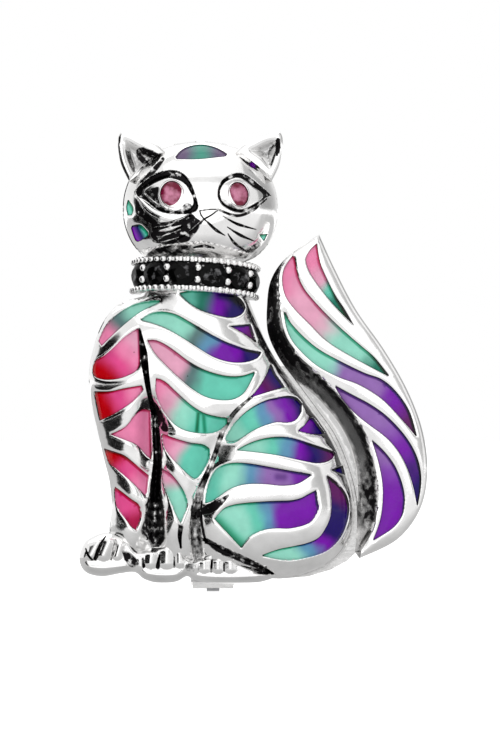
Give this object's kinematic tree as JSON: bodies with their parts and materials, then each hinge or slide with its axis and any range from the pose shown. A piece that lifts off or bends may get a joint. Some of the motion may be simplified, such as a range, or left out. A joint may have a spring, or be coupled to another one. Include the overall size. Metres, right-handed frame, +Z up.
{
  "type": "cat brooch",
  "caption": "Sitting-cat brooch of openwork silver castings filled with translucent enamel, with a jewelled collar, set eyes and a hinged pin with a safety catch.",
  "frame": {"origin": "on the back plane that lies on the cloth, in line with the pin stem and at the middle of its shank", "axes": "+X to the viewer's right, +Z up along the pin stem, and the cat faces -Y, so that +Y points to the wearer"},
  "size_m": [0.0347, 0.0112, 0.046],
  "materials": {
    "silver": "polished silver with darkened recesses",
    "silver_back": "satin silver",
    "pin_steel": "drawn steel wire",
    "enamel_pink": "translucent pink enamel, darker at the edges",
    "enamel_pink_teal": "translucent enamel shading from pink to teal",
    "enamel_teal_purple": "translucent enamel shading from teal to purple",
    "enamel_purple": "translucent deep purple enamel",
    "red_stone": "faceted red stone",
    "black_stone": "faceted black stone"
  },
  "bodies": {
    "brooch": {"body_casting": "silver", "tail_casting": "silver", "head_casting": "silver", "collar_band": "silver", "back_frame": "silver_back", "back_bridge": "silver_back", "eye_bezel_left": "silver", "eye_bezel_right": "silver", "eye_stone_left": "red_stone", "eye_stone_right": "red_stone", "hinge_base": "silver_back", "hinge_rivet": "silver_back", "catch_base": "silver_back", "collar_stone_1": "black_stone", "collar_stone_2": "black_stone", "collar_stone_3": "black_stone", "collar_stone_4": "black_stone", "collar_stone_5": "black_stone", "collar_stone_6": "black_stone", "enamel_shoulder": "enamel_pink_teal", "enamel_upper_foreleg": "enamel_pink", "enamel_mid_foreleg": "enamel_pink", "enamel_elbow": "enamel_pink", "enamel_lower_foreleg": "enamel_pink", "enamel_shin": "enamel_pink", "enamel_second_elbow": "enamel_pink_teal", "enamel_second_shin": "enamel_pink_teal", "enamel_throat": "enamel_teal_purple", "enamel_nape": "enamel_purple", "enamel_upper_chest": "enamel_teal_purple", "enamel_mid_chest": "enamel_pink_teal", "enamel_lower_chest": "enamel_pink_teal", "enamel_back": "enamel_purple", "enamel_hip": "enamel_teal_purple", "enamel_hip_notch": "enamel_purple", "enamel_thigh": "enamel_teal_purple", "enamel_thigh_notch": "enamel_purple", "enamel_upper_haunch": "enamel_teal_purple", "enamel_haunch": "enamel_teal_purple", "enamel_rump": "enamel_purple", "enamel_tail_tip": "enamel_pink_teal", "enamel_upper_tail": "enamel_pink_teal", "enamel_mid_tail": "enamel_teal_purple", "enamel_lower_tail": "enamel_teal_purple", "enamel_tail_base": "enamel_purple", "enamel_crown": "enamel_teal_purple", "enamel_temple": "enamel_purple", "enamel_cheek": "enamel_teal_purple", "enamel_jowl": "enamel_purple", "enamel_right_cheek": "enamel_teal_purple"},
    "pin": {"pin_stem": "pin_steel"},
    "catch": {"catch_roller": "silver_back"}
  },
  "joints": [
    {"name": "pin_hinge", "type": "hinge", "parent": "brooch", "child": "pin", "pos_m": [0, 0.002, -0.014], "axis": [-1, 0, 0], "range_deg": [0, 75]},
    {"name": "catch_turn", "type": "hinge", "parent": "brooch", "child": "catch", "pos_m": [0, 0.002, 0.0138], "axis": [0, 0, 1], "range_deg": [0, 100]}
  ]
}
